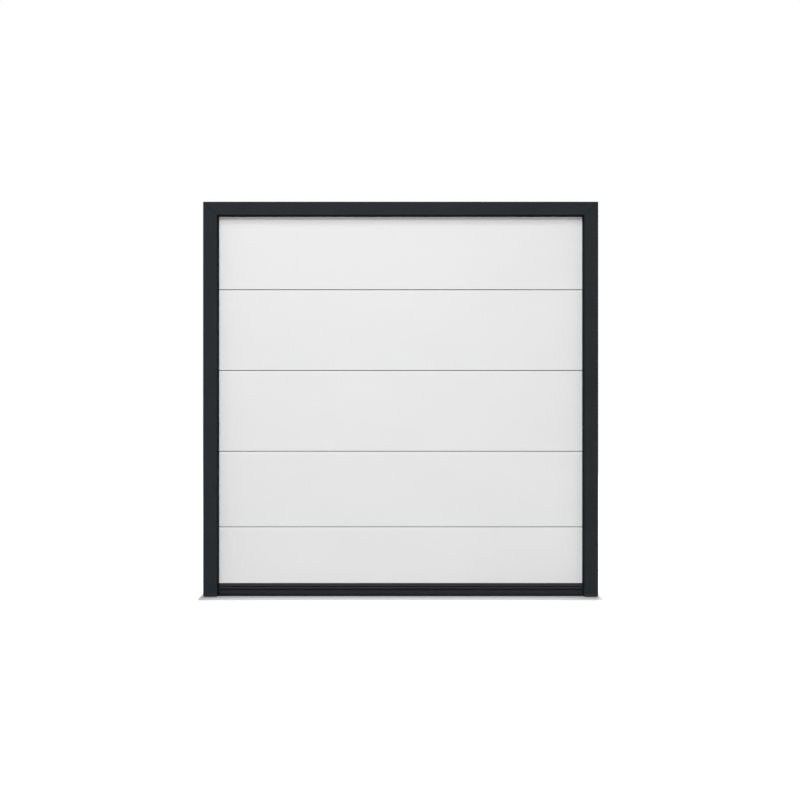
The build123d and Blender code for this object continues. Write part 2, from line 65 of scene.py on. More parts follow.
# Metres throughout. The door's outside faces -Y, the floor is at the frame's lowest point.
floorLevel = cadBox[0].z
leafFront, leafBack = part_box("section_3")[0].y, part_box("section_3")[1].y
seams = [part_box(f"section_{number}")[0].z for number in (2, 3, 4, 5)]
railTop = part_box("section_1")[0].z
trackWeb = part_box("vertical_track_right")[1].x
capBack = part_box("end_caps_right")[1].y
legBox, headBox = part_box("frame_leg_right"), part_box("frame_head")
black, white = (0, 0, 0, 1), (1, 1, 1, 1)


# Materials written as Python expressions
class Wire:  # one output socket, with arithmetic that adds Math nodes
    def __init__(self, finish, socket):
        self.finish = finish
        self.socket = socket

    def __add__(self, other):
        return self.finish.math("ADD", self, other)

    def __radd__(self, other):
        return self.finish.math("ADD", other, self)

    def __sub__(self, other):
        return self.finish.math("SUBTRACT", self, other)

    def __rsub__(self, other):
        return self.finish.math("SUBTRACT", other, self)

    def __mul__(self, other):
        return self.finish.math("MULTIPLY", self, other)

    def __rmul__(self, other):
        return self.finish.math("MULTIPLY", other, self)


class Finish:  # a material, or the world, and the nodes that make it
    def __init__(self, name, isWorld=False):
        self.block = bpy.data.worlds.new(name) if isWorld else bpy.data.materials.new(name)
        self.block.use_nodes = True
        self.tree = self.block.node_tree
        self.tree.nodes.clear()

    def feed(self, socket, value):
        if isinstance(value, Wire):
            self.tree.links.new(value.socket, socket)
        else:
            socket.default_value = value

    def node(self, kind, settings=None, inputs=None, output=0):
        made = self.tree.nodes.new(kind)
        for key, value in (settings or {}).items():
            setattr(made, key, value)
        for key, value in (inputs or {}).items():
            self.feed(made.inputs[key], value)
        return Wire(self, made.outputs[output]) if made.outputs else None

    def math(self, operation, *values):
        return self.node("ShaderNodeMath", {"operation": operation}, dict(enumerate(values)))

    def place(self, scale=(1, 1, 1)):  # where a point is on the object, stretched by scale
        point = self.node("ShaderNodeTexCoord", output="Object")
        return self.node("ShaderNodeMapping", {"vector_type": "POINT"}, {"Vector": point, "Scale": scale})

    def axis(self, name):
        point = self.node("ShaderNodeTexCoord", output="Object")
        return self.node("ShaderNodeSeparateXYZ", inputs={0: point}, output=name)

    def noise(self, size, detail=3.0, roughness=0.5, stretch=(1, 1, 1)):
        inputs = {"Vector": self.place(stretch), "Scale": 1 / size, "Detail": detail, "Roughness": roughness}
        return self.node("ShaderNodeTexNoise", inputs=inputs)

    def spread(self, value, low, high, toLow=0.0, toHigh=1.0):  # a smooth remap, clamped
        settings = {"interpolation_type": "SMOOTHSTEP"}
        inputs = {"Value": value, "From Min": low, "From Max": high, "To Min": toLow, "To Max": toHigh}
        return self.node("ShaderNodeMapRange", settings, inputs)

    def blend(self, factor, first, second):  # between two colours
        return self.node("ShaderNodeMix", {"data_type": "RGBA"}, {"Factor": factor, 6: first, 7: second}, 2)

    def bump(self, height, strength, distance):
        inputs = {"Height": height, "Strength": strength, "Distance": distance}
        return self.node("ShaderNodeBump", inputs=inputs)

    def shown(self):  # 1 for what is looked at, also in a reflection
        seen = self.node("ShaderNodeLightPath", output="Is Camera Ray")
        mirrored = self.node("ShaderNodeLightPath", output="Is Glossy Ray")
        through = self.node("ShaderNodeLightPath", output="Is Transmission Ray")
        return self.math("MAXIMUM", seen, self.math("MAXIMUM", mirrored, through))

    def close(self, inputs):  # the shader itself
        shader = self.node("ShaderNodeBsdfPrincipled", inputs=inputs)
        self.node("ShaderNodeOutputMaterial", inputs={"Surface": shader})
        return self.block


def srgb(red, green, blue):  # a colour as a picture shows it, made linear
    def linear(value):
        value = value / 255
        return value / 12.92 if value <= 0.04045 else ((value + 0.055) / 1.055) ** 2.4
    return (linear(red), linear(green), linear(blue), 1.0)


def powderCoat():
    coat = {
        "base": srgb(37, 41, 44),
        "pale": srgb(41, 45, 48),
        "rail": srgb(54, 58, 61),
        # painted highlight: the rail's protruding lip is painted lighter, as lit from above
        "railLipHighlight": srgb(68, 72, 75),
        # colour of the painted shade, also of the corner's joint line
        "dark": srgb(15, 16, 18),
        "grainSize": 0.0011,
        "blotchSize": 0.18,
        "scuffSize": 0.006,
        "mitre": (0.0004, 0.0020),  # the corner line's half width, and where its soft edge ends
        "mitreDepth": 0.003,
        "mitreShade": 0.55,
        "innerEdge": 0.0006,        # reach of the inner faces' painted shade past their edges
        "fade": 0.03,               # the painted shade fades over this height below the rail's top
        "aboveRail": 0.001,
        "grooveDrop": 0.0160,       # from the rail's top to its groove
        "grooveDepth": 0.001,
        "lipDepth": 0.004,          # the rail's lip begins this far before the leaf
    }
    f = Finish("anthracitePowderCoat")
    grain = f.noise(coat["grainSize"], 2.0)
    blotch = f.noise(coat["blotchSize"], 3.0)
    scuff = f.spread(f.noise(coat["scuffSize"], 5.0, 0.7, stretch=(1, 1, 0.15)), 0.68, 0.8)
    tone = f.spread(blotch * 0.6 + grain * 0.4, 0.35, 0.7)
    sideways, forwards, height = f.math("ABSOLUTE", f.axis("X")), f.axis("Y"), f.axis("Z")
    above = f.math("GREATER_THAN", height, railTop + coat["aboveRail"])
    fading = f.spread(height, railTop - coat["fade"], railTop)
    fading = fading * f.math("GREATER_THAN", sideways, legBox[0].x - coat["innerEdge"])
    # painted shade: the legs' and head's inner faces, which lie in shade, are painted dark
    paintedInnerShade = f.math("LESS_THAN", sideways, legBox[0].x + coat["innerEdge"])
    paintedInnerShade = paintedInnerShade * f.math("LESS_THAN", height, headBox[0].z + coat["innerEdge"])
    paintedInnerShade = paintedInnerShade * f.math("MAXIMUM", above, fading)
    legWidth, headWidth = legBox[1].x - legBox[0].x, headBox[1].z - headBox[0].z
    slant = (legWidth ** 2 + headWidth ** 2) ** 0.5
    across = (sideways - legBox[1].x) * (headWidth / slant)
    across = across - (height - headBox[1].z) * (legWidth / slant)
    mitre = f.spread(f.math("ABSOLUTE", across), *coat["mitre"], 1.0, 0.0)
    mitre = mitre * f.math("GREATER_THAN", height, headBox[0].z)
    mitre = mitre * f.math("LESS_THAN", forwards, legBox[0].y + coat["mitreDepth"])
    # painted shade in the bottom rail's groove
    groove = f.math("LESS_THAN", height, railTop - coat["grooveDrop"])
    groove = groove * f.math("GREATER_THAN", forwards, leafFront + coat["grooveDepth"])
    # the corner line is the mitre's dark joint; the inner faces and the groove are painted shade
    shade = f.math("MAXIMUM", mitre * coat["mitreShade"], groove * (1 - above))
    shade = f.math("MAXIMUM", paintedInnerShade, shade)
    railOnly = f.math("LESS_THAN", sideways, legBox[0].x) * (1 - above)
    # painted highlight on the rail's lip
    railLipHighlight = railOnly * f.math("LESS_THAN", forwards, leafFront - coat["lipDepth"])
    coated = f.blend(tone, coat["base"], coat["pale"])
    coated = f.blend(railOnly, coated, coat["rail"])
    coated = f.blend(railLipHighlight, coated, coat["railLipHighlight"])
    return f.close({
        "Base Color": f.blend(shade, coated, coat["dark"]),
        "Roughness": 0.48 + grain * 0.14 - scuff * 0.08 + shade * 0.3,
        "Specular IOR Level": 0.06,
        "Normal": f.bump(grain, 0.25, 0.00025),
    })


def footPlastic():
    plastic = {"base": srgb(36, 40, 43), "pale": srgb(44, 48, 51), "grainSize": 0.0009, "dustRise": 0.012}
    f = Finish("footPlastic")
    grain = f.noise(plastic["grainSize"], 2.0)
    dust = f.spread(f.axis("Z"), floorLevel, floorLevel + plastic["dustRise"], 1.0, 0.0)
    dust = dust * f.noise(0.008, 4.0, 0.6)
    tone = f.noise(0.03, 2.0) * 0.6 + dust * 0.6
    return f.close({
        "Base Color": f.blend(tone, plastic["base"], plastic["pale"]),
        "Roughness": 0.5 + grain * 0.15,
        "Specular IOR Level": 0.15,
        "Normal": f.bump(grain, 0.3, 0.0003),
    })


def leafWhite():
    leaf = {
        "base": srgb(241, 241, 241),
        "shade": srgb(239, 239, 239),
        "inner": srgb(222, 222, 219),
        "innerShade": srgb(213, 213, 210),
        # painted shade: the joint faces between sections and the edges at each seam lie in shade and are
        # painted dark
        "joint": srgb(58, 58, 60),
        "jointFront": 0.0028,      # the painted shade on the joint's faces begins this far behind the leaf's front
        "jointBack": 0.0025,       # and ends this far before its back
        "edge": (0.0010, 0.0022),  # reach of the painted shade beside a seam
        "peelSize": 0.004,
        "stuccoSize": 0.009,
    }
    f = Finish("leafWhiteCoat")
    middle = (leafFront + leafBack) / 2
    inside = f.math("GREATER_THAN", f.axis("Y"), middle)
    peel = f.noise(leaf["peelSize"], 2.0)
    stucco = f.spread(f.noise(leaf["stuccoSize"], 4.0, 0.55), 0.42, 0.6)
    wave = f.spread(f.noise(0.5, 2.0, stretch=(0.5, 1, 1)), 0.3, 0.7)
    outer = f.blend(wave, leaf["base"], leaf["shade"])
    depth = f.axis("Y") - leafFront
    joint = f.math("GREATER_THAN", depth, leaf["jointFront"])
    joint = joint * f.math("LESS_THAN", depth, leafBack - leafFront - leaf["jointBack"])
    for seam in seams:  # the edge above each gap gets painted shade
        beside = f.math("ABSOLUTE", f.axis("Z") - seam)
        joint = f.math("MAXIMUM", joint, f.spread(beside, *leaf["edge"], 1.0, 0.0))
    grime = f.noise(0.05, 5.0, 0.6) * 0.5 + stucco * 0.5
    inner = f.blend(grime, leaf["innerShade"], leaf["inner"])
    return f.close({
        "Base Color": f.blend(joint, f.blend(inside, outer, inner), leaf["joint"]),
        "Roughness": 0.42 + peel * 0.1 + inside * 0.08,
        "Normal": f.bump(peel * (1 - inside) * 0.12 + stucco * inside, 0.6, 0.0006),
    })


def capWhite():
    sheet = {"base": srgb(226, 226, 225), "pale": srgb(235, 235, 234), "peelSize": 0.003}
    f = Finish("capWhiteSheet")
    peel = f.noise(sheet["peelSize"], 2.0)
    tone = f.noise(0.08, 3.0)
    return f.close({
        "Base Color": f.blend(tone, sheet["base"], sheet["pale"]),
        "Roughness": 0.38 + peel * 0.14,
        "Normal": f.bump(peel, 0.2, 0.0003),
    })


def sealRubber():
    rubber = {
        # painted light: the bottom seal's rubber is painted lighter than the lips' rubber, as lit
        "base": srgb(40, 42, 45),
        "bloom": srgb(50, 53, 56),
        "lip": srgb(16, 17, 18),
        # painted light: the bulb's lower part, which faces the floor, is painted lighter, as lit
        "paintedUnderLightColor": srgb(66, 69, 72),
        "paintedUnderLightRise": (0.002, 0.016),
        "hollow": srgb(18, 19, 21),
        "hollowRise": (0.022, 0.034),  # the painted shade under the rail starts and is full here
        "hollowShare": 0.7,
        "ribPitch": 2400.0,
    }
    f = Finish("sealRubber")
    dust = f.spread(f.noise(0.02, 5.0, 0.6), 0.5, 0.8)
    skin = f.noise(0.0015, 3.0)
    lines = f.math("SINE", f.axis("Z") * rubber["ribPitch"]) * 0.5 + 0.5
    # painted light, strongest at the bulb's foot
    paintedUnderLight = f.spread(f.axis("Z"), *(floorLevel + rise for rise in rubber["paintedUnderLightRise"]), 1.0, 0.0)
    hollow = f.spread(f.axis("Z"), *(floorLevel + rise for rise in rubber["hollowRise"]))
    bulb = f.blend(dust, rubber["base"], rubber["bloom"])
    bulb = f.blend(paintedUnderLight, bulb, rubber["paintedUnderLightColor"])
    # painted shade under the rail's lip
    bulb = f.blend(hollow * rubber["hollowShare"], bulb, rubber["hollow"])
    # the lips above the rail keep the darker rubber; the bottom seal below is painted lighter, as lit
    upper = f.math("GREATER_THAN", f.axis("Z"), railTop)
    return f.close({
        "Base Color": f.blend(upper, bulb, rubber["lip"]),
        "Roughness": 0.62 + skin * 0.2,
        "Specular IOR Level": 0.15,
        "Normal": f.bump(skin * 0.7 + lines * 0.3, 0.25, 0.0003),
    })


def zincSteel():
    zinc = {
        "dark": srgb(160, 163, 166),
        "pale": srgb(193, 195, 197),
        "spangleSize": 0.008,
        "stainSize": 0.16,
        "warp": 0.004,
        "warpScale": 260.0,
    }
    f = Finish("galvanisedSteel")
    wobble = f.node("ShaderNodeTexNoise", inputs={
        "Vector": f.place(), "Scale": zinc["warpScale"], "Detail": 2.0,
    }, output="Color")
    bent = f.node("ShaderNodeVectorMath", {"operation": "MULTIPLY_ADD"}, {
        0: wobble, 1: (zinc["warp"],) * 3, 2: f.place(),
    })
    cells = f.node("ShaderNodeTexVoronoi", inputs={
        "Vector": bent, "Scale": 1 / zinc["spangleSize"],
    }, output="Color")
    spangle = f.node("ShaderNodeSeparateColor", inputs={0: cells})
    fine = f.noise(0.002, 3.0)
    stain = f.noise(zinc["stainSize"], 4.0, 0.6)
    streak = f.noise(0.01, 3.0, stretch=(1, 1, 0.08))
    tone = f.spread(spangle * 0.45 + stain * 0.5 + streak * 0.25, 0.25, 0.95)
    return f.close({
        "Base Color": f.blend(tone, zinc["dark"], zinc["pale"]),
        "Metallic": 0.85,
        "Roughness": 0.38 + spangle * 0.08 + stain * 0.1,
        "Normal": f.bump(fine * 0.6 + spangle * 0.4, 0.1, 0.0003),
    })


def brightSteel():
    steel = {"dark": srgb(172, 173, 175), "pale": srgb(206, 206, 206), "lineSize": 0.0012}
    f = Finish("brightSteel")
    turnedLines = f.noise(steel["lineSize"], 2.0, stretch=(6, 1, 1))
    film = f.noise(0.02, 3.0)
    return f.close({
        "Base Color": f.blend(turnedLines, steel["dark"], steel["pale"]),
        "Metallic": 1.0,
        "Roughness": 0.24 + turnedLines * 0.12 + film * 0.06,
        "Normal": f.bump(turnedLines, 0.15, 0.0002),
    })


def cableSteel():
    rope = {"dark": srgb(96, 98, 101), "pale": srgb(186, 187, 189), "strands": 2200.0, "lean": 1.4}
    f = Finish("twistedCable")
    along = (f.axis("Z") + f.axis("Y")) * rope["strands"] + f.axis("X") * rope["strands"] * rope["lean"]
    strand = f.math("SINE", along) * 0.5 + 0.5
    return f.close({
        "Base Color": f.blend(strand, rope["dark"], rope["pale"]),
        "Metallic": 0.9,
        "Roughness": 0.36 + strand * 0.1,
        "Normal": f.bump(strand, 0.6, 0.0004),
    })


def nylon():
    moulding = {"dark": srgb(222, 219, 208), "pale": srgb(233, 231, 222), "grease": srgb(150, 146, 136)}
    f = Finish("naturalNylon")
    mould = f.noise(0.02, 3.0)
    grease = f.spread(f.noise(0.012, 4.0, 0.6), 0.55, 0.75)
    pale = f.blend(mould, moulding["dark"], moulding["pale"])
    return f.close({
        "Base Color": f.blend(grease * 0.35, pale, moulding["grease"]),
        "Roughness": 0.45 - grease * 0.12,
        "Normal": f.bump(mould, 0.1, 0.0005),
    })


def springSteel():
    wire = {"dark": srgb(56, 57, 60), "pale": srgb(92, 93, 96)}
    f = Finish("oiledSpringSteel")
    scale = f.noise(0.004, 4.0, 0.6)
    film = f.spread(f.noise(0.05, 3.0), 0.35, 0.7)
    return f.close({
        "Base Color": f.blend(scale, wire["dark"], wire["pale"]),
        "Metallic": 0.9,
        "Roughness": 0.28 + film * 0.2,
        "Normal": f.bump(scale, 0.15, 0.0003),
    })


def castAlloy():
    alloy = {"dark": srgb(158, 159, 161), "pale": srgb(188, 189, 190)}
    f = Finish("dieCastAlloy")
    skin = f.noise(0.0016, 4.0, 0.6)
    flow = f.noise(0.03, 3.0)
    return f.close({
        "Base Color": f.blend(flow, alloy["dark"], alloy["pale"]),
        "Metallic": 0.9,
        "Roughness": 0.4 + skin * 0.2,
        "Normal": f.bump(skin, 0.35, 0.0004),
    })


finishes = {
    "frame_powder_coat": powderCoat(),
    "foot_plastic": footPlastic(),
    "leaf_white": leafWhite(),
    "cap_white": capWhite(),
    "seal_rubber": sealRubber(),
    "zinc_steel": zincSteel(),
    "bright_steel": brightSteel(),
    "nylon": nylon(),
    "spring_steel": springSteel(),
    "cast_alloy": castAlloy(),
}
cableFinish = cableSteel()

for row in frame["record"]["subparts"]:
    carried = nodes[row["node"]]
    material = finishes[row["material_slot"]]
    if not carried.material_slots:
        carried.data.materials.append(material)
    for held in carried.material_slots:
        held.material = material
print("materials on", len(nodes), "nodes")


# Making and finishing pieces
sharpFrom = radians(32)  # edges that turn more than this stay sharp
near = 1e-5  # corners closer than this are one


def facing(place, towards):  # stands a shape's +Z along a direction, at a place
    turn = Vector((0, 0, 1)).rotation_difference(Vector(towards)).to_matrix().to_4x4()
    return Matrix.Translation(place) @ turn


def joined(shape, part):  # moves a finished small shape into the piece being built
    mesh = bpy.data.meshes.new("part")
    part.to_mesh(mesh)
    part.free()
    shape.from_mesh(mesh)
    bpy.data.meshes.remove(mesh)


def turned(shape, profile, place, towards, steps=32):  # a profile of (along, radius) spun round an axis
    part = bmesh.new()
    corners = [part.verts.new((radius, 0, along)) for along, radius in profile]
    links = [part.edges.new(pair) for pair in zip(corners, corners[1:])]
    if profile[0][1] > 0:  # a ring with a bore is closed, a solid one starts and ends on the axis
        links.append(part.edges.new((corners[-1], corners[0])))
    bmesh.ops.spin(
        part, geom=corners + links, cent=(0, 0, 0), axis=(0, 0, 1), angle=2 * pi, steps=steps, use_merge=True
    )
    bmesh.ops.remove_doubles(part, verts=part.verts, dist=1e-6)
    part.transform(facing(place, towards))
    joined(shape, part)


def rod(length, radius, edge, neck=None):  # the profile of a round bar with eased ends
    neck = radius - edge if neck is None else neck
    return [(0, 0), (0, neck), (edge, radius), (length - edge, radius), (length, neck), (length, 0)]


def bothWays(side, middle=()):  # a profile from its left half
    return side + list(middle) + [(-along, radius) for along, radius in reversed(side)]


def bevelled(shape, links, offset, segments=2):
    bmesh.ops.bevel(
        shape, geom=links, offset=offset, segments=segments, affect="EDGES", profile=0.5, material=-1
    )


def block(shape, low, high, edge=0.0):  # a box between two corners, its edges bevelled
    size = Vector(high) - Vector(low)
    stand = Matrix.Translation((Vector(low) + Vector(high)) / 2) @ Matrix.Diagonal(size).to_4x4()
    made = bmesh.ops.create_cube(shape, size=1.0, matrix=stand)["verts"]
    if edge > 0:
        bevelled(shape, list({link for vert in made for link in vert.link_edges}), edge)


def plate(shape, outline, start, thickness):  # an outline of (y, z) points given thickness along X
    corners = [shape.verts.new((start, y, z)) for y, z in outline]
    face = shape.faces.new(corners)
    raised = bmesh.ops.extrude_face_region(shape, geom=[face])["geom"]
    moved = [item for item in raised if isinstance(item, bmesh.types.BMVert)]
    bmesh.ops.translate(shape, verts=moved, vec=(thickness, 0, 0))


screw = {"washer": 0.0066, "washerHeight": 0.0012, "hex": 0.0048, "headHeight": 0.0040, "crown": 0.0007}
rivet = {"radius": 0.0042, "steps": 16}


def hexScrew(shape, place, towards, size=1.0):
    washer, hexagon = screw["washer"] * size, screw["hex"] * size
    low, top = screw["washerHeight"] * size, (screw["washerHeight"] + screw["headHeight"]) * size
    profile = [(0, 0), (0, washer), (low * 0.6, washer), (low, washer * 0.85), (low, 0)]
    turned(shape, profile, place, towards, 20)
    crown = top + screw["crown"] * size
    profile = [(low * 0.5, 0), (low * 0.5, hexagon), (top, hexagon), (crown, hexagon * 0.82), (crown, 0)]
    turned(shape, profile, place, towards, 6)


def domeRivet(shape, place, towards, size=1.0):
    radius = rivet["radius"] * size
    dome = [(0, 0), (0, 1), (0.25, 0.95), (0.5, 0.6), (0.6, 0)]
    turned(shape, [(radius * rise, radius * out) for rise, out in dome], place, towards, rivet["steps"])


def finished(shape, name, slotName, covers=(), material=None):
    bmesh.ops.recalc_face_normals(shape, faces=shape.faces)
    mesh = bpy.data.meshes.new(name)
    for face in shape.faces:
        face.smooth = True
    shape.to_mesh(mesh)
    shape.free()
    mesh.set_sharp_from_angle(angle=sharpFrom)
    mesh.materials.append(material or finishes[slotName])
    piece = bpy.data.objects.new(name, mesh)
    bpy.context.scene.collection.objects.link(piece)
    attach(piece, "root")
    if covers:
        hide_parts(*covers)


def single(build, name, slotName):
    shape = bmesh.new()
    build(shape)
    finished(shape, name, slotName)


def bothSides(build, name, slotName, covers="", material=None):  # built on the right, mirrored to the left
    for side in ("right", "left"):
        shape = bmesh.new()
        build(shape)
        if side == "left":
            bmesh.ops.scale(shape, vec=(-1, 1, 1), verts=shape.verts)
        replaced = [f"{covers}_{side}"] if covers else []
        finished(shape, f"{name}_{side}", slotName, replaced, material)


# Feet under the legs, with the spigot that stands in the leg
foot = {
    "height": 0.018,
    "outerRadius": 0.014,
    "outerSegments": 12,
    "innerRadius": 0.003,
    "innerSegments": 5,
    "edge": 0.0006,
    "spigotInset": 0.0035,
    "spigotHeight": 0.020,
    "spigotRoot": 0.001,  # how deep the spigot starts in the foot
}


def legFoot(shape):
    low = Vector((legBox[0].x, legBox[0].y, floorLevel))
    high = Vector((legBox[1].x, legBox[1].y, floorLevel + foot["height"]))
    block(shape, low, high)
    for x, side in ((high.x, "outer"), (low.x, "inner")):
        bottom = [link for link in shape.edges
                  if all(abs(vert.co.x - x) + abs(vert.co.z - low.z) < near for vert in link.verts)]
        bevelled(shape, bottom, foot[f"{side}Radius"], foot[f"{side}Segments"])
    rim = [link for link in shape.edges if abs(link.verts[0].co.y - link.verts[1].co.y) < near]
    bevelled(shape, rim, foot["edge"])
    inset = foot["spigotInset"]
    spigotLow = (low.x + inset, low.y + inset, high.z - foot["spigotRoot"])
    block(shape, spigotLow, (high.x - inset, high.y - inset, high.z + foot["spigotHeight"]))


bothSides(legFoot, "legFoot", "foot_plastic", covers="foot")
print("feet made")


# Soft lips that lie on the leaf's face, and the bottom rail's thin upturned edge
lip = {
    "radius": 0.0016,
    "reach": 0.0012,
    "steps": 12,
    "railHeight": 0.0029,
    "railThickness": 0.0011,
    "railClear": 0.0015,
    "railRoot": 0.001,    # how deep the edge starts in the rail
    "railOver": 0.0001,
    "railEdge": 0.0005,
}


def bead(shape, start, end):  # a round bead from one point to another
    start, run = Vector(start), Vector(end) - Vector(start)
    profile = [(0, 0), (0, lip["radius"]), (run.length, lip["radius"]), (run.length, 0)]
    turned(shape, profile, start, run.normalized(), lip["steps"])


def sideLip(shape):
    x, y = legBox[0].x - lip["reach"] + lip["radius"] / 2, leafFront - lip["radius"]
    bead(shape, (x, y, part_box("side_seal_right")[0].z), (x, y, headBox[0].z))


def headLip(shape):
    y, z = leafFront - lip["radius"], headBox[0].z - lip["reach"] + lip["radius"] / 2
    bead(shape, (-legBox[0].x, y, z), (legBox[0].x, y, z))


def railEdge(shape):
    end = legBox[0].x - lip["railClear"]
    low = (-end, leafFront - lip["railThickness"], railTop - lip["railRoot"])
    block(shape, low, (end, leafFront + lip["railOver"], railTop + lip["railHeight"]), lip["railEdge"])


bothSides(sideLip, "sideLip", "seal_rubber")
single(headLip, "headLip", "seal_rubber")
single(railEdge, "railEdge", "frame_powder_coat")
print("lips made")


# Rollers
wheel = {
    "radius": 0.023,
    "half": 0.008,
    "bore": 0.0055,
    "hub": 0.011,
    "hubRim": 0.0125,
    "dishHalf": 0.0062,
    "dish": (0.0136, 0.0182),
    "tyre": (0.0196, 0.0214),
    "shoulder": (-0.0068, 0.0227),
    "treadHalf": 0.005,
    "rise": 0.030,              # of a roller above its seam
    "steps": 40,
}
bearing = {
    "inset": 0.0004,
    "innerRing": 0.0068,
    "shield": (0.0070, 0.0094),
    "shieldDepth": 0.0006,
    "outerRing": 0.0096,
    "steps": 28,
}
shaft = {
    "overrun": 0.006,
    "edge": 0.001,
    "collar": 0.002,
    "collarWidth": 0.0016,
    "collarGap": 0.0022,
    "steps": 24,
}
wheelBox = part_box("roller_wheels_right")
wheelCentre = (wheelBox[0].x + wheelBox[1].x) / 2
rollerLine, topRollerLine = wheelBox[0].y + wheel["radius"], wheelBox[1].y - wheel["radius"]
rollers = [(rollerLine, wheelBox[0].z + wheel["radius"])]
rollers += [(rollerLine, seam + wheel["rise"]) for seam in seams]
rollers += [(topRollerLine, wheelBox[1].z - wheel["radius"])]


def atRollers(shape, profile, x, steps):
    for y, z in rollers:
        turned(shape, profile, (x, y, z), (1, 0, 0), steps)


def wheels(shape):
    half, dish = wheel["half"], wheel["dishHalf"]
    side = [(-half, wheel["hub"]), (-half, wheel["hubRim"])]
    side += [(-dish, radius) for radius in wheel["dish"]]
    side += [(-half, radius) for radius in wheel["tyre"]]
    side += [wheel["shoulder"], (-wheel["treadHalf"], wheel["radius"])]
    atRollers(shape, bothWays(side), wheelCentre, wheel["steps"])


def wheelBearings(shape):
    half = wheel["half"] - bearing["inset"]
    side = [(-half, wheel["bore"]), (-half, bearing["innerRing"])]
    side += [(-half + bearing["shieldDepth"], radius) for radius in bearing["shield"]]
    side += [(-half, bearing["outerRing"]), (-half, wheel["hub"])]
    atRollers(shape, bothWays(side), wheelCentre, bearing["steps"])


def rollerShafts(shape):
    start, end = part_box("end_hinges_right")[0].x - shaft["overrun"], wheelBox[1].x
    radius, wide = wheel["bore"], shaft["collarWidth"]
    raised = radius + shaft["collar"]
    atRollers(shape, rod(end - start, radius, shaft["edge"]), start, shaft["steps"])
    collar = [(0.0, radius), (0.0, raised), (wide, raised), (wide, radius)]
    atRollers(shape, collar, wheelBox[0].x - shaft["collarGap"], shaft["steps"])


bothSides(wheels, "rollerWheels", "nylon", covers="roller_wheels")
bothSides(wheelBearings, "rollerBearings", "bright_steel")
bothSides(rollerShafts, "rollerShafts", "bright_steel", covers="roller_shafts")
print("rollers made")


# Hinge barrels with their pins, roller tubes and the plates' screws
hinge = {
    "half": 0.028,
    "barrel": 0.0066,
    "barrelDepth": 0.006,
    "barrelEdge": 0.0006,
    "barrelSteps": 24,
    "knuckles": 5,
    "gap": 0.0008,
    "pin": 0.0036,
    "pinHead": (0.001, 0.0016),
    "pinSteps": 16,
    "jointMiddle": 0.0015,
    "plateThickness": 0.0025,
    "plateMiddle": 0.027,
    "screwAcross": 0.018,
    "screwUp": 0.014,
    "tube": 0.0094,
    "tubeEdge": 0.0008,
    "tubeOver": 0.0004,
    "tubeClear": 0.0002,
    "tubeSteps": 28,
}
bracket = {"screwUp": 0.036, "height": 0.096, "topDrop": 0.012}
endHingeMiddle = (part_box("end_hinges_right")[0].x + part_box("end_hinges_right")[1].x) / 2
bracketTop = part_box("section_5")[1].z - bracket["topDrop"]
bracketMiddles = [rollers[0][1], bracketTop - bracket["height"] / 2]


def barrel(shape, x, y, z):
    length = 2 * hinge["half"] / hinge["knuckles"]
    knuckle = rod(length - hinge["gap"], hinge["barrel"], hinge["barrelEdge"])
    for count in range(hinge["knuckles"]):
        start = x - hinge["half"] + count * length + hinge["gap"] / 2
        turned(shape, knuckle, (start, y, z), (1, 0, 0), hinge["barrelSteps"])
    pin, (edge, end) = hinge["pin"], hinge["pinHead"]
    for start, towards in ((x + hinge["half"], 1), (x - hinge["half"], -1)):
        profile = [(0, 0), (0, pin), (edge, pin), (end, pin * 0.7), (end, 0)]
        turned(shape, profile, (start, y, z), (towards, 0, 0), hinge["pinSteps"])


def plateScrews(shape, x, y, z, rise):  # four screws round the middle of a plate
    for across in (-hinge["screwAcross"], hinge["screwAcross"]):
        for up in (-rise, rise):
            hexScrew(shape, (x + across, y, z + up), (0, 1, 0))


def seamScrews(shape, x, face):  # the plates above and below each seam
    for seam in seams:
        for side in (-1, 1):
            middle = seam - hinge["jointMiddle"] + side * hinge["plateMiddle"]
            plateScrews(shape, x, face, middle, hinge["screwUp"])


def hingeBarrels(shape):
    for seam in seams:
        barrel(shape, endHingeMiddle, capBack + hinge["barrelDepth"], seam - hinge["jointMiddle"])


def rollerTubes(shape):
    radius, half = hinge["tube"], hinge["half"] + hinge["tubeOver"]
    bore, edge = wheel["bore"] + hinge["tubeClear"], hinge["tubeEdge"]
    side = [(-half, bore), (-half, radius - edge), (edge - half, radius)]
    atRollers(shape, bothWays(side), endHingeMiddle, hinge["tubeSteps"])


def hingeScrews(shape):
    face = capBack + hinge["plateThickness"]
    seamScrews(shape, endHingeMiddle, face)
    for middle in bracketMiddles:
        plateScrews(shape, endHingeMiddle, face, middle, bracket["screwUp"])


def centreBarrels(shape):
    for seam in seams:
        barrel(shape, 0.0, leafBack + hinge["barrelDepth"], seam - hinge["jointMiddle"])


def centreScrews(shape):
    seamScrews(shape, 0.0, leafBack + hinge["plateThickness"])


bothSides(hingeBarrels, "endHingeBarrels", "zinc_steel")
bothSides(rollerTubes, "rollerTubes", "zinc_steel")
bothSides(hingeScrews, "endHingeScrews", "bright_steel")
single(centreBarrels, "centreHingeBarrels", "zinc_steel")
single(centreScrews, "centreHingeScrews", "bright_steel")
print("hinges dressed")


# Rivets along the end caps' flanges
cap = {"flange": 0.060, "inset": 0.010, "pitch": 0.11, "clear": 0.075}


def capRivets(shape):
    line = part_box("end_caps_right")[1].x - cap["flange"] + cap["inset"]
    bottoms = [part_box("section_1")[0].z] + seams
    tops = seams + [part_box("section_5")[1].z]
    for bottom, top in zip(bottoms, tops):
        length = top - bottom - 2 * cap["clear"]
        count = max(1, int(length / cap["pitch"]))
        for number in range(count + 1):
            height = bottom + cap["clear"] + number / count * length
            domeRivet(shape, (line, capBack, height), (0, 1, 0))


bothSides(capRivets, "capRivets", "bright_steel")
print("caps riveted")


